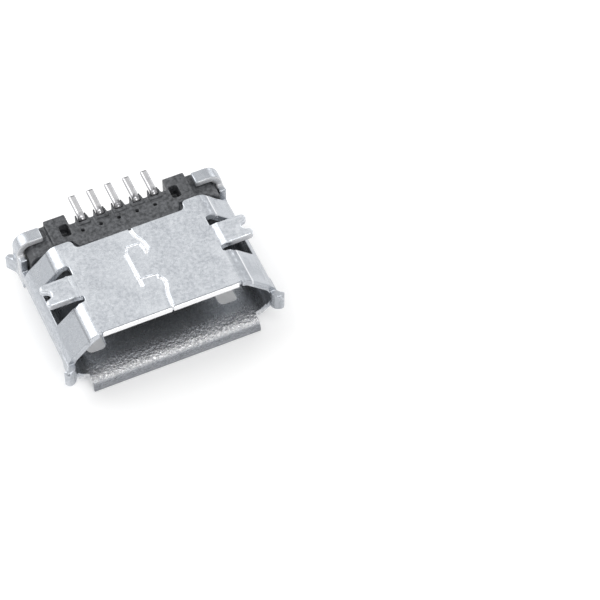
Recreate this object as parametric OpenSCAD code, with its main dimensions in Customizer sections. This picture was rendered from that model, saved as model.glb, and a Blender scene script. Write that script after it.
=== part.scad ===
// Five-way micro socket for a circuit board: a folded shell, a moulded insulator and five contacts.
// The socket lies with the face that meets the board upwards and with its mouth towards -Y.
// Inside each module the mouth plane is y = 0 and the shell's board face is z = 0. placed() moves the
// finished piece so that the origin is at the bottom centre of the whole part.

/* [Shell tube] */
// Thickness of the shell's sheet
sheet = 0.25; // [0.2:0.05:0.35]
// Clear width of the socket
inside_w = 6.95; // [6.75:0.05:7.3]
// Clear height of the socket
inside_h = 1.9; // [1.75:0.05:2.1]
// Width and drop of the slanted corner beside the board face
flank = 1.0; // [0.9:0.05:1.1]
// Outer radius of the bend between board face and flank
face_bend = 0.5; // [0.4:0.05:0.6]
// Outer radius of the bend between flank and side wall
flank_bend = 0.7; // [0.5:0.05:0.75]
// Outer radius of the bend between side wall and floor
floor_bend = 0.9; // [0.7:0.05:0.95]
// Depth of the board face at its two shoulders
face_depth = 3.9; // [3.8:0.05:4.0]
// Depth of the recess in the board face's rear edge
recess_deep = 0.35; // [0.34:0.01:0.4]
// Half width of the recess in the board face's rear edge
recess_half = 1.97; // [1.9:0.01:2.05]
// Radius of the recess's round corners
recess_round = 0.17; // [0.1:0.01:0.17]
// How far the side walls reach behind the board face
wall_reach = 0.7; // [0.65:0.05:0.9]
// Upper edge of the side walls behind the shoulders, below the board face
wall_top = 1.15; // [1.0:0.05:1.2]
// How far the floor reaches behind the board face
floor_reach = 0.45; // [0.3:0.05:0.6]

/* [Flared lip] */
// Half width of the lip
lip_half = 3.0; // [2.8:0.05:3.05]
// Radius under the lip's curl
lip_bend = 0.1; // [0.05:0.01:0.14]
// Straight drop at the end of the curl
lip_drop = 0.13; // [0.05:0.01:0.25]
// How far the sheet is cut back beside the lip
lip_relief = 0.08; // [0.04:0.01:0.15]
// Distance of the nick in the board face's front edge from the middle plane
nick_x = 2.47; // [2.4:0.01:2.55]
// Width of the nick
nick_w = 0.1; // [0.06:0.01:0.14]
// Depth of the nick
nick_deep = 0.1; // [0.05:0.01:0.15]

/* [Side legs] */
// Radius inside a leg's bend
leg_bend = 0.1; // [0.05:0.01:0.15]
// Radius of a leg's round corners
leg_round = 0.18; // [0.1:0.02:0.24]
// Height of a front leg along the wall
front_leg_h = 0.75; // [0.55:0.05:0.85]
// Upper edge of a front leg, below the board face
front_leg_top = 1.1; // [1.0:0.05:1.2]
// Angle that a front leg is bent outwards
front_leg_angle = 60; // [40:5:75]
// Straight length beyond a front leg's bend
front_leg_tip = 0.2; // [0.05:0.01:0.25]
// Height of a rear leg along the wall
rear_leg_h = 0.65; // [0.55:0.05:0.75]
// Upper edge of a rear leg, below the board face
rear_leg_top = 1.35; // [1.2:0.05:1.4]
// Angle that a rear leg is bent outwards
rear_leg_angle = 35; // [15:5:50]
// Straight length beyond a rear leg's bend
rear_leg_tip = 0.4; // [0.1:0.05:0.5]
// Straight length from the wall's edge to a rear leg's bend
rear_leg_lead = 0.15; // [0.0:0.05:0.3]

/* [Rear straps] */
// Depth of the strap's top below the board face
strap_drop = 0.1; // [0.0:0.02:0.2]
// Distance from the board face's rear edge to the strap's post
strap_post_back = 0.25; // [0.15:0.05:0.35]
// Distance from the board face's rear edge to the strap
strap_back = 0.55; // [0.45:0.05:0.65]
// Width of the strap
strap_w = 0.5; // [0.4:0.05:0.6]
// Distance of the strap's end from the middle plane
strap_end = 2.75; // [2.65:0.05:3.0]
// Outer radius of the strap's bend
strap_bend = 0.5; // [0.4:0.05:0.6]

/* [Solder tabs] */
// Distance of the tab's fold line from the middle plane
tab_root = 2.5; // [2.4:0.05:2.55]
// Distance of the tab's tips from the middle plane
tab_tip = 3.68; // [3.5:0.02:3.76]
// Length of the tab's rise beside its fold line
tab_rise = 0.2; // [0.1:0.05:0.3]
// Front edge of the tab
tab_front = 1.65; // [1.55:0.05:1.75]
// Rear edge of the tab
tab_rear = 2.57; // [2.45:0.01:2.65]
// Width of each of the tab's two prongs
prong_w = 0.3; // [0.2:0.02:0.36]
// Depth of the notch between the prongs
notch_depth = 0.28; // [0.22:0.02:0.4]
// Height of tabs and tails above the board face of the shell
solder_lift = 0.05; // [0.01:0.01:0.08]
// Front edge of the window under the tab
window_front = 1.42; // [1.3:0.01:1.5]
// Rear edge of the window under the tab
window_rear = 2.98; // [2.85:0.01:3.1]
// Reach of the window down the flank, from the corner
window_reach = 1.1; // [0.95:0.01:1.12]
// Radius of the window's corners beside the fold
window_round = 0.1; // [0.05:0.01:0.11]

/* [Latch holes] */
// Distance of a latch hole's middle from the middle plane
latch_x = 2.38; // [2.2:0.02:2.46]
// Width of a latch hole
latch_w = 0.68; // [0.5:0.02:0.72]
// Front edge of a latch hole
latch_front = 0.84; // [0.7:0.02:1.0]
// Length of a latch hole
latch_l = 1.1; // [0.9:0.05:1.5]
// Corner radius of a latch hole
latch_round = 0.2; // [0.1:0.02:0.24]

/* [Seam] */
// Width of the seam's open stretches
seam_gap = 0.1; // [0.06:0.01:0.12]
// Width of the seam's closed stretches
seam_line = 0.05; // [0.03:0.005:0.06]
// Width of the lock between the sheet's two edges
lock_w = 0.54; // [0.5:0.01:0.6]
// Front end of the lock
lock_front = 1.43; // [1.3:0.01:1.5]
// Distance from the lock's rear end to the recess
lock_back = 0.75; // [0.65:0.05:0.9]

/* [Insulator] */
// Clearance between the insulator and the shell
fit = 0.02; // [0.01:0.005:0.03]
// Gap between the board face's rear edge and the blocks behind it
block_gap = 0.06; // [0.04:0.01:0.1]
// Distance from the board face's rear edge forward to the insulator's front wall
base_lap = 0.6; // [0.5:0.05:0.9]
// How far the comb reaches behind the board face
comb_reach = 0.72; // [0.7:0.01:0.8]
// Half width of the comb and its ledge
comb_half = 1.9; // [1.86:0.01:1.92]
// Depth of the comb's top below the board face
comb_top = 0.12; // [0.08:0.01:0.18]
// Size of the cut-off corners at the ledge's front
comb_corner = 0.14; // [0.1:0.01:0.2]
// Gap between the recess and the ledge's front edge
ledge_gap = 0.05; // [0.03:0.01:0.06]
// Distance of the small step in the ledge's front edge from the middle plane
ledge_step_x = 1.06; // [0.9:0.02:1.3]
// Inner side of a rear post, from the middle plane
post_in = 1.77; // [1.7:0.01:1.82]
// Outer side of a rear post, from the middle plane
post_out = 2.54; // [2.4:0.01:2.6]
// How far the posts reach behind the comb
post_reach = 0.46; // [0.4:0.02:0.5]
// Gap between the shoulder and the side wall
shoulder_gap = 0.05; // [0.05:0.01:0.1]
// Size of the cut-off edge along the shoulder's top
shoulder_corner = 0.2; // [0.1:0.05:0.3]
// Width across the two cheeks beside a contact, at the comb
cheek_w = 0.46; // [0.42:0.01:0.5]
// Width across the cheeks at their rear end
cheek_tip_w = 0.36; // [0.35:0.01:0.4]
// How far the cheeks reach behind the comb
cheek_l = 0.22; // [0.15:0.01:0.3]
// Depth of the cheeks' top below the board face
cheek_top = 0.05; // [0.02:0.01:0.1]
// Width and length of the small pit beside each contact
pit_w = 0.12; // [0.08:0.01:0.16]
// Depth of the small pits
pit_deep = 0.25; // [0.1:0.05:0.4]
// Distance of a pit's middle from its contact's middle
pit_side = 0.13; // [0.1:0.01:0.16]
// Distance of a pit's middle from the comb's rear face
pit_back = 0.4; // [0.3:0.02:0.5]
// Distance of the pocket from the post's inner side
pocket_in = 0.05; // [0.04:0.01:0.1]
// Distance of the pocket from the post's front face
pocket_back = 0.24; // [0.1:0.02:0.3]
// Width of the pocket in a post
pocket_w = 0.32; // [0.26:0.02:0.4]
// Length of the pocket in a post
pocket_l = 0.5; // [0.4:0.05:0.7]
// Depth of the pockets
pocket_deep = 0.5; // [0.3:0.05:0.7]
// Half width of the tongue
tongue_half = 1.75; // [1.65:0.05:1.9]
// Front end of the tongue
tongue_front = 0.75; // [0.6:0.05:0.9]
// Thickness of the tongue
tongue_h = 0.6; // [0.5:0.05:0.7]
// Gap between the tongue and the shell
tongue_gap = 0.3; // [0.2:0.05:0.35]

/* [Contacts] */
// Distance between neighbouring contacts
pitch = 0.65; // [0.6:0.01:0.65]
// Thickness of a contact
contact_t = 0.15; // [0.1:0.01:0.16]
// Width of a contact on the tongue
blade_w = 0.3; // [0.24:0.02:0.34]
// Width of a contact where it rises behind the comb
root_w = 0.25; // [0.25:0.01:0.3]
// Length of the wide root in front of the rise
root_l = 0.25; // [0.15:0.05:0.3]
// How far the wide root stands out behind the comb
root_proud = 0.06; // [0.04:0.01:0.1]
// Length over which the root narrows to the tail
tail_taper = 0.1; // [0.05:0.05:0.3]
// Width of a tail
tail_w = 0.23; // [0.18:0.01:0.24]
// Front end of a contact on the tongue
blade_front = 1.0; // [0.95:0.05:1.2]
// Length of the tails behind the comb
tail_l = 0.95; // [0.7:0.05:1.1]
// Inner radius of a contact's bends
contact_bend = 0.08; // [0.04:0.01:0.1]
// Distance that a contact's rise stands in from the comb's rear face
riser_in = 0.1; // [0.05:0.01:0.14]
// Clearance between a contact and the insulator
contact_fit = 0.01; // [0.005:0.005:0.02]

/* [Hidden] */
$fn = 64;
CONTACTS = 5;
// Reach of a cutter past the surface that it opens
over = 0.5;
outer_half = inside_w / 2 + sheet;
outer_h = inside_h + 2 * sheet;
face_half = outer_half - flank;
tan_slant = tan(22.5);
// Centres of the three bends of the right half of the section
face_centre = [face_half - face_bend * tan_slant, -face_bend];
flank_centre = [outer_half - flank_bend, -flank - flank_bend * tan_slant];
floor_centre = [outer_half - floor_bend, -outer_h + floor_bend];
slant = [cos(45), sin(45)];
recess_depth = face_depth - recess_deep;
wall_depth = face_depth + wall_reach;
floor_depth = face_depth + floor_reach;
strap_post_y = face_depth + strap_post_back;
strap_front = face_depth + strap_back;
strap_rear = strap_front + strap_w;
base_front = face_depth - base_lap;
block_front = face_depth + block_gap;
// Posts, shoulders and comb end where the bend between side wall and floor begins
block_low = floor_centre[1];
comb_rear = face_depth + comb_reach;
post_rear = comb_rear + post_reach;
tail_end = comb_rear + tail_l;
lock_rear = recess_depth - lock_back;
lip_out = lip_bend + sheet;
bottom = outer_h + lip_bend + lip_drop;
front_reach = leg_reach(front_leg_angle, front_leg_tip, 0);
mouth_front = max(lip_out, front_reach);
mid_y = (tail_end - mouth_front) / 2;
riser_y = comb_rear - riser_in;
root_front = riser_y - root_l;
tongue_top = sheet + tongue_gap;
blade_low = tongue_top + tongue_h;
silver = [0.8, 0.81, 0.84];
tin = [0.86, 0.87, 0.89];
black = [0.17, 0.17, 0.18];

// How far a leg reaches past its edge of the side wall
function leg_reach(angle, tip, lead) = lead + (leg_bend + sheet) * sin(angle) + tip * cos(angle);

// Tangent point of a bend of the section, from its centre, its outer radius, an inset and a direction
function edge_point(centre, radius, inset, normal) = centre + (radius - inset) * normal;

function half_section(inset) = [
    edge_point(face_centre, face_bend, inset, [0, 1]),
    edge_point(face_centre, face_bend, inset, slant),
    edge_point(flank_centre, flank_bend, inset, slant),
    edge_point(flank_centre, flank_bend, inset, [1, 0]),
    edge_point(floor_centre, floor_bend, inset, [1, 0]),
    edge_point(floor_centre, floor_bend, inset, [0, -1])
];

module placed() {
    translate([0, -mid_y, bottom])
        children();
}

module both_sides() {
    children();
    mirror([1, 0, 0])
        children();
}

// Extrudes a section in x and z from y = front to y = rear
module along_y(front, rear) {
    translate([0, rear, 0])
        rotate([90, 0, 0])
            linear_extrude(rear - front)
                children();
}

// Extrudes a side view in y and z, from x = left to x = right
module along_x(left, right) {
    translate([left, 0, 0])
        rotate([90, 0, 90])
            linear_extrude(right - left)
                children();
}

// Extrudes a plan from z = low to z = high
module along_z(low, high) {
    translate([0, 0, low])
        linear_extrude(high - low)
            children();
}

// Rectangle from one corner to the other, with round corners
module round_box(low, high, radius) {
    size = high - low;
    translate([low[0] + radius, low[1]])
        square([size[0] - 2 * radius, size[1]]);
    translate([low[0], low[1] + radius])
        square([size[0], size[1] - 2 * radius]);
    for (x = [low[0] + radius, high[0] - radius], y = [low[1] + radius, high[1] - radius])
        translate([x, y])
            circle(radius);
}

module box(low, high) {
    translate(low)
        square(high - low);
}

// Quarter or part of a flat ring about the origin
module arc_strip(inner, outer, from, to) {
    reach = 2 * outer;
    steps = 3;
    intersection() {
        difference() {
            circle(outer);
            circle(inner);
        }
        polygon(concat([[0, 0]], [
            for (i = [0 : steps])
                let (a = from + (to - from) * i / steps)
                    [reach * cos(a), reach * sin(a)]
        ]));
    }
}

// Outline of the tube, drawn in by an inset
module section(inset) {
    right = half_section(inset);
    left = [for (i = [len(right) - 1 : -1 : 0]) [-right[i][0], right[i][1]]];
    polygon(concat(right, left));
    for (side = [-1, 1]) {
        translate([side * face_centre[0], face_centre[1]])
            circle(face_bend - inset);
        translate([side * flank_centre[0], flank_centre[1]])
            circle(flank_bend - inset);
        translate([side * floor_centre[0], floor_centre[1]])
            circle(floor_bend - inset);
    }
}

module tube() {
    along_y(0, wall_depth)
        difference() {
            section(0);
            section(sheet);
        }
}

// Plan of what is cut away behind the board face
module rear_cut_plan() {
    half = outer_half + over;
    rear = wall_depth + over;
    box([-half, face_depth], [half, rear]);
    box([-recess_half, recess_depth + recess_round], [recess_half, rear]);
    box([-recess_half + recess_round, recess_depth], [recess_half - recess_round, rear]);
    both_sides() {
        translate([recess_half - recess_round, recess_depth + recess_round])
            circle(recess_round);
        difference() {
            box([0, face_depth - recess_round], [recess_half + recess_round, rear]);
            translate([recess_half + recess_round, face_depth - recess_round])
                circle(recess_round);
        }
    }
}

// Part of the flank that the solder tab was cut from
module window_section() {
    corner = [face_half, 0];
    down = [slant[0], -slant[1]];
    edge = corner + window_reach * down;
    polygon([
        [tab_root + window_round, over],
        edge + over * slant + [0, over],
        edge + over * slant,
        edge - over * slant,
        [tab_root + window_round, -sheet - over]
    ]);
}

module windows() {
    both_sides() {
        along_y(window_front, window_rear)
            window_section();
        along_z(-sheet - over, over)
            round_box([tab_root - window_round / 2, window_front], [face_half, window_rear], window_round);
    }
}

module latch_holes() {
    both_sides()
        along_z(-outer_h - over, -outer_h + sheet + over)
            round_box(
                [latch_x - latch_w / 2, latch_front],
                [latch_x + latch_w / 2, latch_front + latch_l],
                latch_round
            );
}

// One stretch of a gap, with round ends
module gap_stretch(from, to, width) {
    step = to - from;
    translate(from) {
        circle(width / 2);
        rotate(atan2(step[1], step[0]))
            translate([0, -width / 2])
                square([norm(step), width]);
    }
    translate(to)
        circle(width / 2);
}

module gap_route(points, width) {
    for (i = [0 : len(points) - 2])
        gap_stretch(points[i], points[i + 1], width);
}

// Points of the seam from one end of its lock, given as shares of the lock's width
function lock_points(end, shares) = [for (share = shares) [0, end] + lock_w * share];

// The two edges of the sheet lock into each other like pieces of a puzzle
module seam_plan() {
    rear_end = [0.19, -0.74];
    rear_inner = [0.05, 0.08];
    rear_outer = [-1.02, -0.35];
    front_bend = [0.26, -0.26];
    front_end = [0.11, -2.46];
    gap_route(
        concat(
            [[lock_w * -0.08, recess_depth + over]],
            lock_points(
                lock_rear,
                [[-0.06, 1.1], [0.04, 0.68], [0.27, 0.22], [0.36, -0.06], [0.39, -0.42], rear_end]
            )
        ),
        seam_gap
    );
    gap_route(lock_points(lock_rear, [rear_end, rear_inner, [-0.8, 0.13], rear_outer]), seam_line);
    gap_route(
        concat(lock_points(lock_rear, [rear_outer]), lock_points(lock_front, [[-1, -0.4]])),
        seam_gap
    );
    gap_route(lock_points(lock_front, [[-1, 0.13], [0.12, 0.06], [0.12, -0.28], front_bend]), seam_line);
    gap_route(lock_points(lock_front, [front_bend, [0.42, -0.67], [0.19, -1.56], front_end]), seam_gap);
    gap_route(
        concat(lock_points(lock_front, [front_end]), [[lock_w * front_end[0], -over]]),
        seam_line
    );
}

module side_leg_plan(angle, tip, lead) {
    box([outer_half - sheet, -lead], [outer_half, 2 * sheet]);
    translate([outer_half + leg_bend, -lead]) {
        arc_strip(leg_bend, leg_bend + sheet, 180, 180 + angle);
        rotate(angle)
            box([-leg_bend - sheet, -tip], [-leg_bend, 0]);
    }
}

// Leg that is bent outwards from the front edge of the side wall, at y = 0
module side_leg(top, height, angle, tip, lead) {
    low = -top - height;
    intersection() {
        along_z(low, -top)
            side_leg_plan(angle, tip, lead);
        along_x(0, 2 * outer_half) {
            round_box([-leg_reach(angle, tip, lead), low], [4 * sheet, -top], leg_round);
            box([sheet, low], [4 * sheet, -top]);
        }
    }
}

module side_legs() {
    side_leg(front_leg_top, front_leg_h, front_leg_angle, front_leg_tip, 0);
    translate([0, wall_depth, 0])
        mirror([0, 1, 0])
            side_leg(rear_leg_top, rear_leg_h, rear_leg_angle, rear_leg_tip, rear_leg_lead);
}

module strap_section() {
    centre = [outer_half - strap_bend, -strap_drop - strap_bend];
    box([strap_end, -strap_drop - sheet], [centre[0], -strap_drop]);
    translate(centre)
        arc_strip(strap_bend - sheet, strap_bend, 0, 90);
    box([outer_half - sheet, -wall_top - sheet], [outer_half, centre[1]]);
}

// The rear end of each side wall rises behind the flank and is folded in over the insulator
module strap() {
    along_y(strap_front, strap_rear)
        strap_section();
    along_y(strap_post_y, strap_front + sheet)
        box([outer_half - sheet, -wall_top - sheet], [outer_half, -strap_drop - strap_bend]);
}

module tab_section() {
    rise_end = tab_root + tab_rise;
    polygon([
        [tab_root - sheet, 0],
        [tab_root, 0],
        [rise_end, solder_lift],
        [tab_tip, solder_lift],
        [tab_tip, solder_lift - sheet],
        [rise_end, solder_lift - sheet],
        [tab_root, -sheet],
        [tab_root - sheet, -sheet]
    ]);
}

module tab_plan() {
    middle = (tab_front + tab_rear) / 2;
    notch = (tab_rear - tab_front) / 2 - prong_w;
    prong = prong_w / 2;
    difference() {
        union() {
            box([tab_root - sheet, tab_front], [tab_tip - prong, tab_rear]);
            for (y = [tab_front + prong, tab_rear - prong])
                translate([tab_tip - prong, y])
                    circle(prong);
        }
        box([tab_tip - notch_depth + notch, middle - notch], [tab_tip + over, middle + notch]);
        translate([tab_tip - notch_depth + notch, middle])
            circle(notch);
    }
}

module tab() {
    intersection() {
        along_y(tab_front - over, tab_rear + over)
            tab_section();
        along_z(-2 * sheet, sheet)
            tab_plan();
    }
}

// The floor's front edge curls down into a lip
module lip() {
    along_x(-lip_half, lip_half) {
        translate([0, -outer_h - lip_bend])
            arc_strip(lip_bend, lip_out, 90, 180);
        box([-lip_out, -bottom], [-lip_bend, -outer_h - lip_bend]);
    }
}

module shell() {
    color(silver)
        placed() {
            difference() {
                tube();
                along_z(-wall_top, over)
                    rear_cut_plan();
                along_z(-outer_h - over, -outer_h + floor_bend)
                    box([-floor_centre[0], floor_depth], [floor_centre[0], wall_depth + over]);
                both_sides()
                    along_z(-outer_h - over, -front_leg_top - front_leg_h)
                        box([lip_half, -over], [outer_half + over, lip_relief]);
                both_sides()
                    along_z(-sheet - over / 2, over)
                        box([nick_x - nick_w / 2, -over], [nick_x + nick_w / 2, nick_deep]);
                windows();
                latch_holes();
                along_z(-sheet - over / 2, over)
                    seam_plan();
            }
            lip();
            both_sides() {
                side_legs();
                strap();
                tab();
            }
        }
}

// Side view of a contact, thickened by a clearance
module contact_side(grow) {
    blade_z = -blade_low;
    tail_z = solder_lift - contact_t;
    inner = contact_bend - grow;
    outer = contact_bend + contact_t + grow;
    low_turn = [riser_y - contact_bend, blade_z + contact_t + contact_bend];
    high_turn = [riser_y + contact_t + contact_bend, tail_z - contact_bend];
    box([blade_front - grow, blade_z - grow], [low_turn[0], blade_z + contact_t + grow]);
    translate(low_turn)
        arc_strip(inner, outer, 270, 360);
    box([riser_y - grow, low_turn[1]], [riser_y + contact_t + grow, high_turn[1]]);
    translate(high_turn)
        arc_strip(inner, outer, 90, 180);
    box([high_turn[0], tail_z - grow], [tail_end + grow, tail_z + contact_t + grow]);
}

module contact_plan() {
    root_rear = comb_rear + root_proud;
    half = [
        [blade_w / 2, 0],
        [blade_w / 2, root_front],
        [root_w / 2, root_front],
        [root_w / 2, root_rear],
        [tail_w / 2, root_rear + tail_taper],
        [tail_w / 2, tail_end + over]
    ];
    polygon(concat(half, [for (i = [len(half) - 1 : -1 : 0]) [-half[i][0], half[i][1]]]));
}

module contact(number) {
    color(tin)
        placed()
            translate([(number - (CONTACTS + 1) / 2) * pitch, 0, 0])
                intersection() {
                    along_x(-root_w, root_w)
                        contact_side(0);
                    along_z(-outer_h, sheet)
                        contact_plan();
                }
}

// Room for one contact: a channel under the tongue, then a slot open to the comb's top and rear
module contact_room() {
    blade_half = blade_w / 2 + contact_fit;
    root_half = root_w / 2 + contact_fit;
    low = -blade_low - contact_fit;
    blade_top = -blade_low + contact_t + contact_fit;
    along_x(-blade_half, blade_half)
        box([blade_front - contact_fit, low], [riser_y, blade_top]);
    along_x(-root_half, root_half) {
        box([root_front - contact_fit, low], [riser_y, blade_top + contact_bend]);
        box([riser_y - contact_fit, low], [comb_rear + over, over]);
    }
    along_z(-comb_top - pit_deep, over)
        box([-pit_side - pit_w / 2, comb_rear - pit_back - pit_w / 2],
            [-pit_side + pit_w / 2, comb_rear - pit_back + pit_w / 2]);
}

// Plan of the two cheeks that stand beside a contact behind the comb
module cheek_plan() {
    tip = comb_rear + cheek_l;
    polygon([
        [-cheek_w / 2, comb_rear - cheek_l],
        [cheek_w / 2, comb_rear - cheek_l],
        [cheek_w / 2, comb_rear],
        [cheek_tip_w / 2, tip],
        [-cheek_tip_w / 2, tip],
        [-cheek_w / 2, comb_rear]
    ]);
}

// Plan of the ledge and comb, with its front corners cut off
module comb_plan() {
    front = recess_depth + ledge_gap;
    polygon([
        [-comb_half + comb_corner, front + ledge_gap],
        [-ledge_step_x, front + ledge_gap],
        [-ledge_step_x, front],
        [comb_half - comb_corner, front],
        [comb_half, front + 2 * comb_corner],
        [comb_half, comb_rear],
        [-comb_half, comb_rear],
        [-comb_half, front + 2 * comb_corner]
    ]);
}

// Lower block at each side, which the strap is folded over
module shoulder_section() {
    wall = outer_half - sheet - shoulder_gap;
    top = -strap_drop - sheet - fit;
    slope = top - shoulder_corner;
    polygon([[0, block_low], [wall, block_low], [wall, slope], [wall - shoulder_corner, top], [0, top]]);
}

module post() {
    along_y(block_front, post_rear)
        difference() {
            shoulder_section();
            box([-over, block_low - over], [post_in, over]);
        }
    along_z(block_low, -comb_top)
        box([post_in, block_front], [post_out, post_rear]);
}

module insulator_body() {
    along_y(base_front, comb_rear)
        section(sheet + fit);
    along_z(block_low, -comb_top)
        comb_plan();
    both_sides() {
        along_y(block_front, comb_rear)
            shoulder_section();
        post();
    }
    for (i = [1 : CONTACTS])
        translate([(i - (CONTACTS + 1) / 2) * pitch, 0, 0])
            along_z(block_low, -cheek_top)
                cheek_plan();
    along_z(-blade_low, -tongue_top)
        round_box([-tongue_half, tongue_front], [tongue_half, block_front], sheet);
}

module post_pockets() {
    pocket_x = post_in + pocket_in;
    pocket_y = block_front + pocket_back;
    both_sides()
        along_z(-comb_top - pocket_deep, over)
            round_box([pocket_x, pocket_y], [pocket_x + pocket_w, pocket_y + pocket_l], pocket_w / 4);
}

module insulator() {
    color(black)
        placed()
            difference() {
                insulator_body();
                post_pockets();
                for (i = [1 : CONTACTS])
                    translate([(i - (CONTACTS + 1) / 2) * pitch, 0, 0])
                        contact_room();
            }
}

shell();
insulator();
contact(1);  // contact_1
contact(2);  // contact_2
contact(3);  // contact_3
contact(4);  // contact_4
contact(5);  // contact_5
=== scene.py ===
"""Dresses the five-way micro socket: camera, soft light, finer edges and procedural metal and plastic."""
import math

import bmesh
import bpy
import numpy as np
from mathutils import Matrix, Vector


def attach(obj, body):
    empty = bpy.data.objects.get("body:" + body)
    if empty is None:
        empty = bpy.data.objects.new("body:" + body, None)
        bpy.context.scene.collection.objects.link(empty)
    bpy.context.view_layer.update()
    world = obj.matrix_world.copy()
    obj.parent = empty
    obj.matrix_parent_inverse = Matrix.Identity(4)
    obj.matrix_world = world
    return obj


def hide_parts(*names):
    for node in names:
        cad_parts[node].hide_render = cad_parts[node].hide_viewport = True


MM = 0.001
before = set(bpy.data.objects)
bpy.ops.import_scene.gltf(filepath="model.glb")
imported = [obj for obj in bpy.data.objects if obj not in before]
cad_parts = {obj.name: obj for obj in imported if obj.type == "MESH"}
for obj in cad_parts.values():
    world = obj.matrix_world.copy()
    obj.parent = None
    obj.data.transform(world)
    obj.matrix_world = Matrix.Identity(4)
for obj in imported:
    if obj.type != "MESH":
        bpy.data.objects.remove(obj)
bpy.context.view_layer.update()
scene = bpy.context.scene

# Where the mouth plane and the board face lie in the frame, in mm
MOUTH_Y = -2.583446
FACE_Z = 2.63


def place(x, y, z):
    """A point given from the mouth plane and the board face, in mm, as a point of the frame."""
    return Vector((x, y + MOUTH_Y, z + FACE_Z)) * MM


# Camera, fitted to the photograph: angles, distances and shifts in mm
YAW = math.radians(-24.30)
ELEVATION = math.radians(54.80)
DISTANCE = 97.79
SIDE_SHIFT = -4.180
UP_SHIFT = -0.257
LENS = 180
SENSOR = 36
NEAR = 10
FAR = 2000

right = Vector((math.cos(YAW), math.sin(YAW), 0))
level = math.cos(ELEVATION)
back = Vector((math.sin(YAW) * level, -math.cos(YAW) * level, math.sin(ELEVATION)))
up = back.cross(right)
camera_data = bpy.data.cameras.new("camera")
camera_data.lens = LENS
camera_data.sensor_width = SENSOR
camera_data.clip_start = NEAR * MM
camera_data.clip_end = FAR * MM
camera = bpy.data.objects.new("camera", camera_data)
scene.collection.objects.link(camera)
turn = Matrix((right, up, back)).transposed().to_4x4()
stand = place(*(-SIDE_SHIFT * right - UP_SHIFT * up + DISTANCE * back))
camera.matrix_world = Matrix.Translation(stand) @ turn
scene.camera = camera
scene.view_settings.view_transform = "Standard"


# Helpers that build node trees
def new_material(name):
    material = bpy.data.materials.new(name)
    material.use_nodes = True
    tree = material.node_tree
    return material, tree, tree.nodes["Principled BSDF"]


def add(tree, kind, **values):
    """A node with its settings and the values of its sockets: socket names are given with underscores."""
    node = tree.nodes.new(kind)
    for key, value in values.items():
        socket = node.inputs.get(key.replace("_", " "))
        if socket is not None:
            socket.default_value = value
        else:
            setattr(node, key, value)
    return node


def link(tree, source, target):
    tree.links.new(source, target)


def noise(tree, coords, per_mm, detail=3.0, rough=0.55, distortion=0.0):
    node = add(tree, "ShaderNodeTexNoise", Scale=per_mm / MM, Detail=detail, Roughness=rough,
               Distortion=distortion)
    link(tree, coords, node.inputs["Vector"])
    return node.outputs["Fac"]


def remap(tree, value, limits, to_low=0.0, to_high=1.0):
    node = add(tree, "ShaderNodeMapRange")
    node.inputs["From Min"].default_value, node.inputs["From Max"].default_value = limits
    node.inputs["To Min"].default_value = to_low
    node.inputs["To Max"].default_value = to_high
    link(tree, value, node.inputs["Value"])
    return node.outputs["Result"]


def where(tree, mask, without, within):
    """One number outside a mask, another one inside it."""
    return remap(tree, mask, (0, 1), without, within)


def mix_colour(tree, factor, first, second):
    node = add(tree, "ShaderNodeMix", data_type="RGBA")
    link(tree, factor, node.inputs[0])
    for socket, value in ((6, first), (7, second)):
        if isinstance(value, tuple):
            node.inputs[socket].default_value = (*value, 1)
        else:
            link(tree, value, node.inputs[socket])
    return node.outputs[2]


def multiply(tree, first, second):
    node = add(tree, "ShaderNodeMath", operation="MULTIPLY")
    for socket, value in zip(node.inputs, (first, second)):
        if isinstance(value, (int, float)):
            socket.default_value = value
        else:
            link(tree, value, socket)
    return node.outputs[0]


def total(tree, first, second):
    node = add(tree, "ShaderNodeMath", operation="ADD", use_clamp=True)
    link(tree, first, node.inputs[0])
    link(tree, second, node.inputs[1])
    return node.outputs[0]


def absolute(tree, value):
    node = add(tree, "ShaderNodeMath", operation="ABSOLUTE")
    link(tree, value, node.inputs[0])
    return node.outputs[0]


def object_coords(tree):
    return add(tree, "ShaderNodeTexCoord").outputs["Object"]


def split(tree, vector):
    node = add(tree, "ShaderNodeSeparateXYZ")
    link(tree, vector, node.inputs[0])
    return [node.outputs[axis] for axis in "XYZ"]


def sharp_edges(tree, share):
    """Up to the share on sharp outer edges, 0 elsewhere."""
    return remap(tree, add(tree, "ShaderNodeNewGeometry").outputs["Pointiness"], (0.52, 0.62), 0, share)


def band(tree, value, start, full, end_full=None, end=None):
    """1 between full and end_full, falling to 0 at start and end; all in mm along one axis of the piece."""
    rise = remap(tree, value, (start * MM, full * MM))
    if end is None:
        return rise
    return multiply(tree, rise, remap(tree, value, (end_full * MM, end * MM), 1, 0))


def patch(tree, spot, x=None, y=None, z=None):
    """1 where the spot lies inside every band given, 0 outside; y counts from the mouth plane."""
    inside = None
    for value, edges in zip(spot, (x, y and [MOUTH_Y + edge for edge in y], z)):
        if edges:
            part = band(tree, value, *edges)
            inside = part if inside is None else multiply(tree, inside, part)
    return inside


def bump(tree, shader, heights):
    """Chains height maps, each with its strength and its full height in mm, into the shader's normal."""
    normal = None
    for height, strength, distance in heights:
        node = add(tree, "ShaderNodeBump", Strength=strength, Distance=distance * MM)
        link(tree, height, node.inputs["Height"])
        if normal is not None:
            link(tree, normal, node.inputs["Normal"])
        normal = node.outputs["Normal"]
    link(tree, normal, shader.inputs["Normal"])


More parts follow.
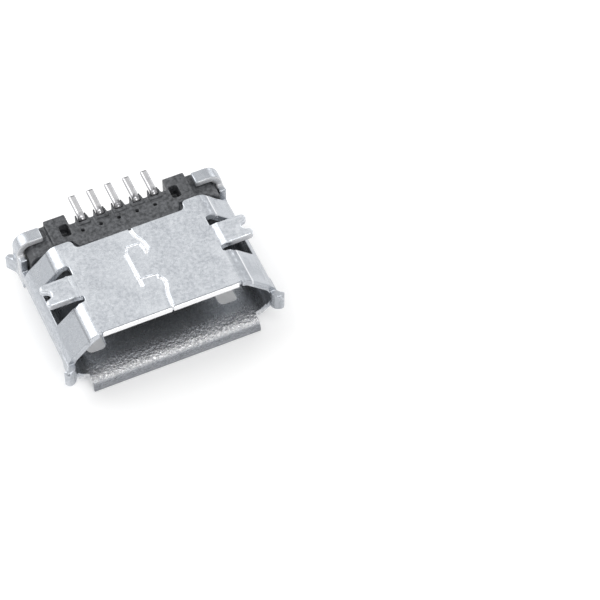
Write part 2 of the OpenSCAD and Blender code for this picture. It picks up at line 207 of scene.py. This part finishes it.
# Plated metal: grains to the mm, shares of the mottle, and depths in mm
PITS_FINER = 3.2
CLOUDS_PER_MM = 1.1
SPECK_LIMITS = (0.38, 0.62)
CLOUD_LIMITS = (0.35, 0.65)
FINE_SHARE = 0.45
PIT_SHARE = 0.35
CLOUD_SHARE = 0.2
RUBBED_SHARE = 0.6
RUBBED_GAIN = 1.08
RUBBED_GLOSS = 0.7
BARE_METALLIC = 0.25
DENT_HEIGHT = 0.01
CLOUD_DENT = 0.3
PIT_DENT = 0.5

# Contacts: distances from a contact's middle, depths from the mouth plane, in mm
PITCH = 0.65
TAIL_HALF = 0.115
CROWN_HEIGHT = 0.022
# Painted shade on the tails: along their side edges, at their tips and on faces turned sideways
RIM = (0.080, 0.100)
TIP_Y = (5.51, 5.54)
SIDEWAYS = (0.35, 0.75)
TAIL_SIDE_SHADE_SHARE = 0.8
TAIL_SIDE_SHADE = (0.15, 0.15, 0.16)
# Painted shade, in patches, where each tail bends down at its root
TAIL_BEND_Y = (4.84, 4.76)
ROOT_SHADE_LIMITS = (0.40, 0.55)
ROOT_SHADE_SHARES = (0.9, 0.2)
ROOT_SHADE = (0.16, 0.16, 0.17)

# Shell: where the press left its marks and where shade and highlights are painted, in mm, with y from the
# mouth plane.
# Along each axis a mark appears between the first two values and ends between the last two
# The sheared top front edge and the seam, also painted near white as a painted highlight
FRONT_EDGE_X = (-2.46, -2.42, 2.42, 2.46)
FRONT_EDGE_Y = (0.02, 0.01)
FRONT_EDGE_Z = (2.2, 2.3)
SEAM_X = (-0.72, -0.70, 0.40, 0.42)
SEAM_Y = (0.02, 0.04)
SEAM_Z = (2.40, 2.42, 2.588, 2.608)
# Painted shade: a dark line in the crease just behind the top front edge
EDGE_CREASE_SHADE_Y = (0.012, 0.02, 0.045, 0.06)
EDGE_CREASE_SHADE_Z = (2.56, 2.58)
# The lip's front face, painted darker as painted shade
LIP_FRONT_Y = (-0.20, -0.30)
LIP_FRONT_Z = (0.5, 0.45)
# Painted shade on both side walls below the board face, and more on the right flank
SIDES_X = (2.62, 2.90)
SIDES_Z = (2.62, 2.56)
RIGHT_FLANK_X = (2.85, 2.95, 3.72, 3.78)
RIGHT_FLANK_Z = (2.45, 2.43)
# Unplated edges of the straps and tabs, painted lighter as a painted highlight
STRAP_EDGE_X = (2.60, 2.62)
STRAP_EDGE_Y = (4.30, 4.34, 4.475, 4.50)
TAB_EDGE_X = (2.80, 2.90)
TAB_EDGE_Y = (1.60, 1.62, 1.665, 1.68)
TAB_EDGE_Z = (2.40, 2.45)
TAB_Y = (1.55, 1.60, 2.62, 2.68)
# Painted shade that dims the highlight on the bends beside the board face, away from the tabs
BEND_X = (2.45, 2.60, 2.84, 2.87)
BEND_Z = (2.25, 2.35)
# Painted shade along the left fold
LEFT_FOLD_X = (-2.945, -2.925, -2.895, -2.875)
# Painted highlight along the right fold
RIGHT_FOLD_X = (2.865, 2.885, 2.905, 2.925)
FOLD_Y = (4.05, 4.00)
# The lip's curl, painted bright as a painted highlight, with painted shade in its creases
LIP_Y = (0.6, 0)
LIP_Z = (0.60, 0.46)

# Shell: the colours of the marks, painted shade and painted highlights among them, and how far each one covers
# the plating
# Painted shade for the side walls, the right flank and the bends
SHADED_SIDE = (0.34, 0.36, 0.39)
# Painted shade for the lip's front, the crease behind the top edge and the left fold
SHADED_FRONT = (0.22, 0.23, 0.25)
# Painted highlight, near white
WHITE_HIGHLIGHT = (0.99, 0.99, 1.0)
# Unplated metal, lighter as a painted highlight
BARE_EDGE_HIGHLIGHT = (0.62, 0.63, 0.65)
# Painted shade in the lip's creases
CREASE_SHADE = (0.70, 0.71, 0.73)
SIDES_SHADE_SHARE = 0.55
RIGHT_FLANK_SHADE_SHARE = 0.3
LIP_FRONT_SHADE_SHARE = 0.7
EDGE_CREASE_SHADE_SHARE = 0.7
BEND_SHADE_SHARE = 0.6
LEFT_FOLD_SHADE_SHARE = 0.5
RIGHT_FOLD_HIGHLIGHT_SHARE = 0.6
LIP_HIGHLIGHT_SHARE = 0.9
CLEAN_GLOSS = 0.6
CLEAN_DENT = 0.2
BEND_GLOSS = 1.6
LIP_GLOSS = 0.55
WRINKLES_PER_MM = 11
CREASE_SHADE_LIMITS = (0.42, 0.56)
CRINKLE_HEIGHT = 0.08


def plated_metal(name, bright, dull, rough_limits, grain, dent, metal, folded=False):
    """Satin plating: fine pits and cloudy patches in colour and gloss, with the edges rubbed brighter."""
    material, tree, shader = new_material(name)
    coords = object_coords(tree)
    fine = noise(tree, coords, grain, detail=5, rough=0.6)
    pits = noise(tree, coords, PITS_FINER * grain, detail=2)
    broad = noise(tree, coords, CLOUDS_PER_MM, detail=4, rough=0.6)
    speck = total(tree, multiply(tree, remap(tree, fine, SPECK_LIMITS), FINE_SHARE),
                  multiply(tree, remap(tree, pits, SPECK_LIMITS), PIT_SHARE))
    shade = total(tree, speck, multiply(tree, remap(tree, broad, CLOUD_LIMITS), CLOUD_SHARE))
    rubbed = sharp_edges(tree, RUBBED_SHARE)
    colour = mix_colour(tree, shade, bright, dull)
    colour = mix_colour(tree, rubbed, colour, tuple(min(1.0, RUBBED_GAIN * part) for part in bright))
    rough = where(tree, shade, *rough_limits)
    rough = multiply(tree, rough, remap(tree, rubbed, (0, RUBBED_SHARE), 1, RUBBED_GLOSS))
    shader.inputs["Metallic"].default_value = metal
    if folded:
        colour, rough, heights, bare_and_lit = press_marks_and_painted_light(tree, coords, colour, rough, fine, pits, broad, dent)
        link(tree, where(tree, bare_and_lit, metal, BARE_METALLIC), shader.inputs["Metallic"])
    else:
        colour, crown = tail_shade_marks(tree, coords, colour, fine)
        heights = [
            (fine, dent, DENT_HEIGHT),
            (pits, PIT_DENT * dent, DENT_HEIGHT),
            (broad, CLOUD_DENT, DENT_HEIGHT),
            (crown, 1, CROWN_HEIGHT),
        ]
    link(tree, colour, shader.inputs["Base Color"])
    link(tree, rough, shader.inputs["Roughness"])
    bump(tree, shader, heights)
    return material


def tail_shade_marks(tree, coords, colour, fine):
    """Painted shade on the contacts: their side edges, tips and sideways faces painted dark, and patches of
    painted shade where each tail bends at its root; also the tail's crown for the bump.
    """
    spot = split(tree, coords)
    sideways = absolute(tree, split(tree, add(tree, "ShaderNodeTexCoord").outputs["Normal"])[0])
    # Distance from the middle of the nearest contact: they stand a pitch apart, one of them in the middle
    off_middle = add(tree, "ShaderNodeMath", operation="PINGPONG")
    link(tree, spot[0], off_middle.inputs[0])
    off_middle.inputs[1].default_value = PITCH / 2 * MM
    off_middle = off_middle.outputs[0]
    outline = total(tree, band(tree, off_middle, *RIM), patch(tree, spot, y=TIP_Y))
    # Painted shade on the tails' sides, edges and tips
    side_shade = total(tree, outline, remap(tree, sideways, SIDEWAYS))
    colour = mix_colour(tree, multiply(tree, side_shade, TAIL_SIDE_SHADE_SHARE), colour, TAIL_SIDE_SHADE)
    # Painted shade in patches at each tail's root bend
    root_shade = multiply(tree, patch(tree, spot, y=TAIL_BEND_Y), remap(tree, fine, ROOT_SHADE_LIMITS, *ROOT_SHADE_SHARES))
    out = multiply(tree, off_middle, 1 / (TAIL_HALF * MM))
    crown = where(tree, multiply(tree, out, out), 1, 0)
    return mix_colour(tree, root_shade, colour, ROOT_SHADE), crown


def press_marks_and_painted_light(tree, coords, colour, rough, fine, pits, broad, dent):
    """What the press leaves on the sheet, with painted light: the sheared front edge and seam painted near
    white as a painted highlight, a crinkled lip painted bright with painted shade in its creases and on its
    front, painted shade on the sides, bends and left fold, and painted highlights on the strap and tab edges
    and the right fold.
    """
    spot = split(tree, coords)
    both_sides = [absolute(tree, spot[0]), *spot[1:]]
    # The sheared front edge and seam, painted near white as a painted highlight
    sheared_and_highlight = total(tree, patch(tree, spot, FRONT_EDGE_X, FRONT_EDGE_Y, FRONT_EDGE_Z),
                  patch(tree, spot, SEAM_X, SEAM_Y, SEAM_Z))
    # The lip's front, painted darker as painted shade
    lip_front = patch(tree, spot, y=LIP_FRONT_Y, z=LIP_FRONT_Z)
    # Unplated strap and tab edges, painted lighter as a painted highlight
    bare_and_lit = total(tree, patch(tree, both_sides, STRAP_EDGE_X, STRAP_EDGE_Y),
                 patch(tree, both_sides, TAB_EDGE_X, TAB_EDGE_Y, TAB_EDGE_Z))
    off_tabs = where(tree, patch(tree, spot, y=TAB_Y), 1, 0)
    # Painted shade dimming the bend highlight, away from the tabs
    bend = multiply(tree, patch(tree, spot, x=BEND_X, z=BEND_Z), off_tabs)
    # Painted shade along the left fold
    left_fold = multiply(tree, patch(tree, spot, LEFT_FOLD_X, FOLD_Y, BEND_Z), off_tabs)
    # Painted highlight along the right fold
    right_fold = multiply(tree, patch(tree, spot, RIGHT_FOLD_X, FOLD_Y, BEND_Z), off_tabs)
    # Each mark mixes in its colour: painted shade on the sides, flank, lip front, edge crease, bends and left
    # fold; painted highlight on the front edge, seam, strap and tab edges and right fold
    for mark, share, paint in (
        (patch(tree, both_sides, x=SIDES_X, z=SIDES_Z), SIDES_SHADE_SHARE, SHADED_SIDE),
        (patch(tree, spot, x=RIGHT_FLANK_X, z=RIGHT_FLANK_Z), RIGHT_FLANK_SHADE_SHARE, SHADED_SIDE),
        (lip_front, LIP_FRONT_SHADE_SHARE, SHADED_FRONT),
        (patch(tree, spot, FRONT_EDGE_X, EDGE_CREASE_SHADE_Y, EDGE_CREASE_SHADE_Z), EDGE_CREASE_SHADE_SHARE, SHADED_FRONT),
        (sheared_and_highlight, 1, WHITE_HIGHLIGHT),
        (bare_and_lit, 1, BARE_EDGE_HIGHLIGHT),
        (bend, BEND_SHADE_SHARE, SHADED_SIDE),
        (left_fold, LEFT_FOLD_SHADE_SHARE, SHADED_FRONT),
        (right_fold, RIGHT_FOLD_HIGHLIGHT_SHARE, WHITE_HIGHLIGHT),
    ):
        colour = mix_colour(tree, multiply(tree, mark, share), colour, paint)
    lip = patch(tree, spot, y=LIP_Y, z=LIP_Z)
    for mark, gloss in ((sheared_and_highlight, CLEAN_GLOSS), (bend, BEND_GLOSS), (lip, LIP_GLOSS)):
        rough = multiply(tree, rough, where(tree, mark, 1, gloss))
    wrinkles = noise(tree, coords, WRINKLES_PER_MM, detail=3, rough=0.6, distortion=0.4)
    # The lip painted bright as a painted highlight, with painted shade in its creases
    painted_crinkles = mix_colour(tree, remap(tree, wrinkles, CREASE_SHADE_LIMITS), CREASE_SHADE, WHITE_HIGHLIGHT)
    colour = mix_colour(tree, multiply(tree, lip, where(tree, lip_front, LIP_HIGHLIGHT_SHARE, 0)), colour, painted_crinkles)
    crinkle = multiply(tree, where(tree, wrinkles, -0.5, 0.5), lip)
    plain = where(tree, sheared_and_highlight, 1, CLEAN_DENT)
    heights = [
        (multiply(tree, fine, plain), dent, DENT_HEIGHT),
        (multiply(tree, pits, plain), PIT_DENT * dent, DENT_HEIGHT),
        (broad, CLOUD_DENT, DENT_HEIGHT),
        (crinkle, 1, CRINKLE_HEIGHT),
    ]
    return colour, rough, heights, bare_and_lit


steel = plated_metal(
    "plated_steel",
    bright=(0.83, 0.86, 0.90),
    dull=(0.43, 0.455, 0.495),
    rough_limits=(0.24, 0.38),
    grain=9,
    dent=0.3,
    metal=0.85,
    folded=True,
)
tin = plated_metal(
    "tinned_contact",
    bright=(0.70, 0.70, 0.71),
    dull=(0.54, 0.54, 0.56),
    rough_limits=(0.12, 0.22),
    grain=6,
    dent=0.12,
    metal=1,
)

# Moulded plastic
TOOL_PER_MM = 25
MOTTLE_PER_MM = 8
FLOW_PER_MM = 1.6
FLOW_LIMITS = (0.3, 0.7)
MOTTLE_SHARE = 0.7
FLOW_SHARE = 0.3
BLACK = (0.020, 0.022, 0.025)
GREY = (0.135, 0.140, 0.150)
RUBBED_GREY = (0.07, 0.073, 0.078)
RUBBED_GREY_SHARE = 0.5
PLASTIC_ROUGH = (0.30, 0.48)
PLASTIC_DENT = 0.008
MOTTLE_DENT = 0.02
TOOL_BUMP = 0.35
MOTTLE_BUMP = 0.5
FLOW_BUMP = 0.25


def moulded_plastic(name):
    """Black moulding: faint flow clouds, fine tool texture and rubbed edges."""
    material, tree, shader = new_material(name)
    coords = object_coords(tree)
    fine = noise(tree, coords, TOOL_PER_MM)
    mottle = noise(tree, coords, MOTTLE_PER_MM, detail=4, rough=0.6)
    flow = noise(tree, coords, FLOW_PER_MM, detail=4)
    shade = total(tree, multiply(tree, remap(tree, mottle, SPECK_LIMITS), MOTTLE_SHARE),
                  multiply(tree, remap(tree, flow, FLOW_LIMITS), FLOW_SHARE))
    colour = mix_colour(tree, shade, BLACK, GREY)
    colour = mix_colour(tree, sharp_edges(tree, RUBBED_GREY_SHARE), colour, RUBBED_GREY)
    link(tree, colour, shader.inputs["Base Color"])
    link(tree, remap(tree, fine, FLOW_LIMITS, *PLASTIC_ROUGH), shader.inputs["Roughness"])
    bump(tree, shader, [
        (fine, TOOL_BUMP, PLASTIC_DENT),
        (mottle, MOTTLE_BUMP, MOTTLE_DENT),
        (flow, FLOW_BUMP, PLASTIC_DENT),
    ])
    return material


plastic = moulded_plastic("black_moulding")

# Pieces: the shell's straps, tabs and legs, whose edges the press has rounded more, in mm from the mouth plane
STRAP_SIDE = 2.6
STRAP_FRONT = 4.2
TAB_SIDE = 2.72
TAB_LOW = 2.45
TAB_ZONE_FRONT = 1.0
TAB_ZONE_REAR = 3.4
LEG_SIDE = 3.78

WELD = 0.0005
SMOOTHING = 0.5
SOFTER_TIMES = 60

# Corners of the block inside the sheet that ends the seam's gap below its rolled edges
SEAM_BED = ((-0.66, 0.03, -0.2), (0.36, 3.52, -0.05))

# Material slot, material, size of the grid's cells in mm, times of smoothing, triangles kept
FINISH = {
    "shell": ("plated_shell", steel, 0.017, 3, 190000),
    "insulator": ("black_moulding", plastic, 0.026, 2, 80000),
}
CONTACT_FINISH = ("plated_contact", tin, 0.010, 7, 12000)


def worked(x, y, z):
    """The straps, tabs and legs: coordinates of the frame in mm."""
    side = np.abs(x)
    strap = (side > STRAP_SIDE) & (y > MOUTH_Y + STRAP_FRONT)
    tab = (side > TAB_SIDE) & (z > TAB_LOW) & (y > MOUTH_Y + TAB_ZONE_FRONT) & (y < MOUTH_Y + TAB_ZONE_REAR)
    leg = side > LEG_SIDE
    return strap | tab | leg


def add_block(data, corners):
    """Joins a block to a mesh in mm, from one corner to the other."""
    grown = bmesh.new()
    grown.from_mesh(data)
    low, high = (Vector((x, y + MOUTH_Y, z + FACE_Z)) for x, y, z in corners)
    bmesh.ops.create_cube(grown, size=1, matrix=Matrix.LocRotScale((low + high) / 2, None, high - low))
    grown.to_mesh(data)
    grown.free()


def add_smoothing(target, times, group=""):
    smooth = target.modifiers.new("smooth", "SMOOTH")
    smooth.factor = SMOOTHING
    smooth.iterations = times
    smooth.vertex_group = group


def as_mesh(target):
    return bpy.data.meshes.new_from_object(target.evaluated_get(bpy.context.evaluated_depsgraph_get()))


def rounded(name, voxel, smoothing, triangles, bed=None, softer=None):
    """The CAD node's own shape with its sharp edges rounded, as stamping and moulding leave it."""
    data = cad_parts[name].data.copy()
    data.transform(Matrix.Scale(1 / MM, 4))
    if bed:
        add_block(data, bed)
    rough = bpy.data.objects.new("rough_" + name, data)
    scene.collection.objects.link(rough)
    weld = rough.modifiers.new("weld", "WELD")
    weld.merge_threshold = WELD
    grid = rough.modifiers.new("grid", "REMESH")
    grid.mode = "VOXEL"
    grid.voxel_size = voxel
    add_smoothing(rough, smoothing)
    shape = as_mesh(rough)
    rough.modifiers.clear()
    rough.data = shape
    if softer:
        spots = np.empty(3 * len(shape.vertices), dtype=np.float32)
        shape.vertices.foreach_get("co", spots)
        chosen = rough.vertex_groups.new(name="softer")
        chosen.add([int(i) for i in np.nonzero(softer(*spots.reshape(-1, 3).T))[0]], 1, "REPLACE")
        add_smoothing(rough, SOFTER_TIMES, "softer")
    # The grid's faces have four corners, so each one makes two triangles
    thin = rough.modifiers.new("thin", "DECIMATE")
    thin.ratio = min(1.0, triangles / (2 * len(shape.polygons)))
    shape = as_mesh(rough)
    bpy.data.objects.remove(rough)
    shape.transform(Matrix.Scale(MM, 4))
    shape.materials.clear()
    shape.name = "fine_" + name
    shape.shade_smooth()
    piece = bpy.data.objects.new("fine_" + name, shape)
    scene.collection.objects.link(piece)
    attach(piece, "root")
    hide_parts(name)
    return piece


for name in sorted(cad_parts):
    slot, material, voxel, smoothing, triangles = FINISH.get(name, CONTACT_FINISH)
    extras = {"bed": SEAM_BED, "softer": worked} if name == "shell" else {}
    piece = rounded(name, voxel, smoothing, triangles, **extras)
    piece.data.materials.append(material)
    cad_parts[name].data.materials.clear()
    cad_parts[name].data.materials.append(material)

# Stage and light
FLOOR_HALF = 0.5
FLOOR_ALBEDO = 0.94
FLOOR_TOP_UP = 0.16
floor_data = bpy.data.meshes.new("floor")
floor_data.from_pydata([(-FLOOR_HALF, -FLOOR_HALF, 0), (FLOOR_HALF, -FLOOR_HALF, 0),
                        (FLOOR_HALF, FLOOR_HALF, 0), (-FLOOR_HALF, FLOOR_HALF, 0)], [], [(0, 1, 2, 3)])
floor = bpy.data.objects.new("floor", floor_data)
scene.collection.objects.link(floor)
floor_material, floor_tree, floor_shader = new_material("pale_floor")
floor_shader.inputs["Base Color"].default_value = (FLOOR_ALBEDO,) * 3 + (1,)
floor_shader.inputs["Roughness"].default_value = 1
floor_shader.inputs["Specular IOR Level"].default_value = 0

# The floor glows a little for every ray that shows it, seen straight, mirrored or through a clear piece
rays = add(floor_tree, "ShaderNodeLightPath")
seen = rays.outputs["Is Camera Ray"]
for kind in ("Is Glossy Ray", "Is Transmission Ray"):
    either = add(floor_tree, "ShaderNodeMath", operation="MAXIMUM")
    link(floor_tree, seen, either.inputs[0])
    link(floor_tree, rays.outputs[kind], either.inputs[1])
    seen = either.outputs[0]
floor_shader.inputs["Emission Color"].default_value = (1, 1, 1, 1)
link(floor_tree, multiply(floor_tree, seen, FLOOR_TOP_UP), floor_shader.inputs["Emission Strength"])
floor_data.materials.append(floor_material)

# The room is dimmer on the mouth's side: its light changes between these two parts of the direction along Y
ROOM_LIGHT = 0.84
FRONT_LIGHT = 0.30
DIM_LIMITS = (-0.85, -0.35)
world = bpy.data.worlds.new("world")
scene.world = world
world.use_nodes = True
sky = world.node_tree
towards_y = split(sky, add(sky, "ShaderNodeTexCoord").outputs["Generated"])[1]
strength = remap(sky, towards_y, DIM_LIMITS, FRONT_LIGHT, ROOM_LIGHT)
link(sky, strength, sky.nodes["Background"].inputs["Strength"])
sky.nodes["Background"].inputs["Color"].default_value = (1, 1, 1, 1)

LAMP_DISTANCE = 0.3


def soft_box(name, towards, size, radiance):
    """A round lamp of a given radiance, its size in metres, seen from the object in the direction towards."""
    data = bpy.data.lights.new(name, "AREA")
    data.shape = "DISK"
    data.size = size
    data.energy = radiance * math.pi * math.pi * (size / 2) ** 2
    lamp = bpy.data.objects.new(name, data)
    scene.collection.objects.link(lamp)
    lamp.location = Vector(towards).normalized() * LAMP_DISTANCE
    lamp.rotation_euler = (-lamp.location).to_track_quat("-Z", "Y").to_euler()


soft_box("right_back", (0.742, 0.525, 0.405), size=0.14, radiance=1.2)
soft_box("left_back", (-0.50, 0.525, 0.68), size=0.28, radiance=1.7)
soft_box("overhead", (0.15, -0.30, 0.94), size=0.14, radiance=2.2)
soft_box("front", (0.237, -0.80, 0.52), size=0.12, radiance=2.5)
